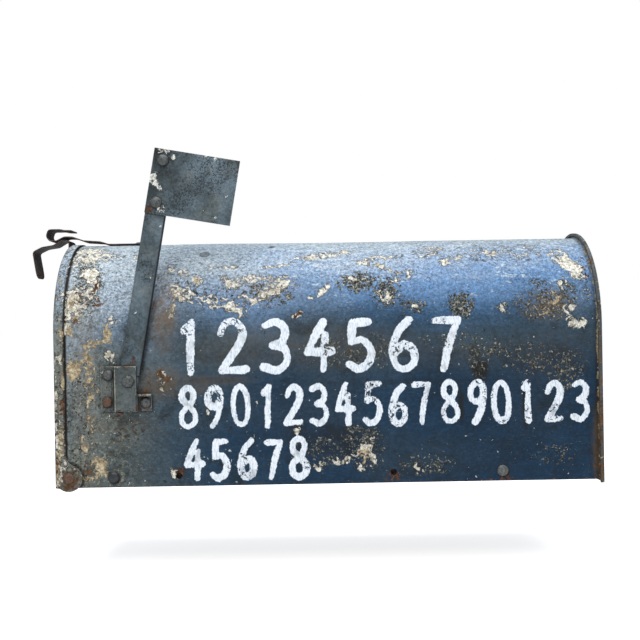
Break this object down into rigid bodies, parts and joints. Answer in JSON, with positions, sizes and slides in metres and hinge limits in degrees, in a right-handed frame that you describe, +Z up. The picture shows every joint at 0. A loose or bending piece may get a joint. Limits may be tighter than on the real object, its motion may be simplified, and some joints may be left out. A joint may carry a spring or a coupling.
{
  "type": "mailbox",
  "caption": "Weathered roadside sheet-steel mailbox with a half-round roof, drop-down door, spring latch and a side signal flag; hand-brushed numerals, flaked paint and rust.",
  "frame": {"origin": "centre of the floor pan's underside, the face that sits on a mounting board", "axes": "+X from the door to the rear panel, +Z up, the flag is on the -Y side"},
  "size_m": [0.5171, 0.1811, 0.2988],
  "materials": {
    "body_paint": "old slate-blue paint, flaked to cream primer and rust",
    "flag_paint": "pitted grey-blue paint",
    "strap_steel": "blackened, rusty steel strip",
    "painted_rivet": "paint worn off the heads",
    "rusty_rivet": "rust-brown steel"
  },
  "bodies": {
    "box": {"body_shell": "body_paint", "floor_pan": "body_paint", "rear_cap": "body_paint", "latch_strip": "strap_steel", "latch_rivet_front": "strap_steel", "latch_rivet_rear": "strap_steel", "flag_bracket": "flag_paint", "flag_friction_leaf": "rusty_rivet", "flag_pivot_rivet": "painted_rivet", "bracket_rivet_upper": "painted_rivet", "bracket_rivet_lower": "rusty_rivet", "bracket_rivet_rear": "painted_rivet", "hinge_rivet_right": "rusty_rivet", "hinge_rivet_left": "rusty_rivet", "floor_rivet_front_right": "painted_rivet", "floor_rivet_rear_right": "painted_rivet", "floor_rivet_front_left": "painted_rivet", "floor_rivet_rear_left": "painted_rivet"},
    "door": {"door_panel": "body_paint", "door_strap": "strap_steel", "strap_rivet_upper": "strap_steel", "strap_rivet_lower": "strap_steel"},
    "flag": {"flag_arm": "flag_paint", "flag_blade": "flag_paint", "blade_rivet_upper": "painted_rivet", "blade_rivet_lower": "painted_rivet"}
  },
  "joints": [
    {"name": "door_hinge", "type": "hinge", "parent": "box", "child": "door", "pos_m": [-0.2282, 0, -0.0113], "axis": [0, -1, 0], "range_deg": [0, 98], "deforming": ["latch_strip"]},
    {"name": "flag_pivot", "type": "hinge", "parent": "box", "child": "flag", "pos_m": [-0.174, -0.09, 0.073], "axis": [0, 1, 0], "range_deg": [-13, 85]}
  ]
}
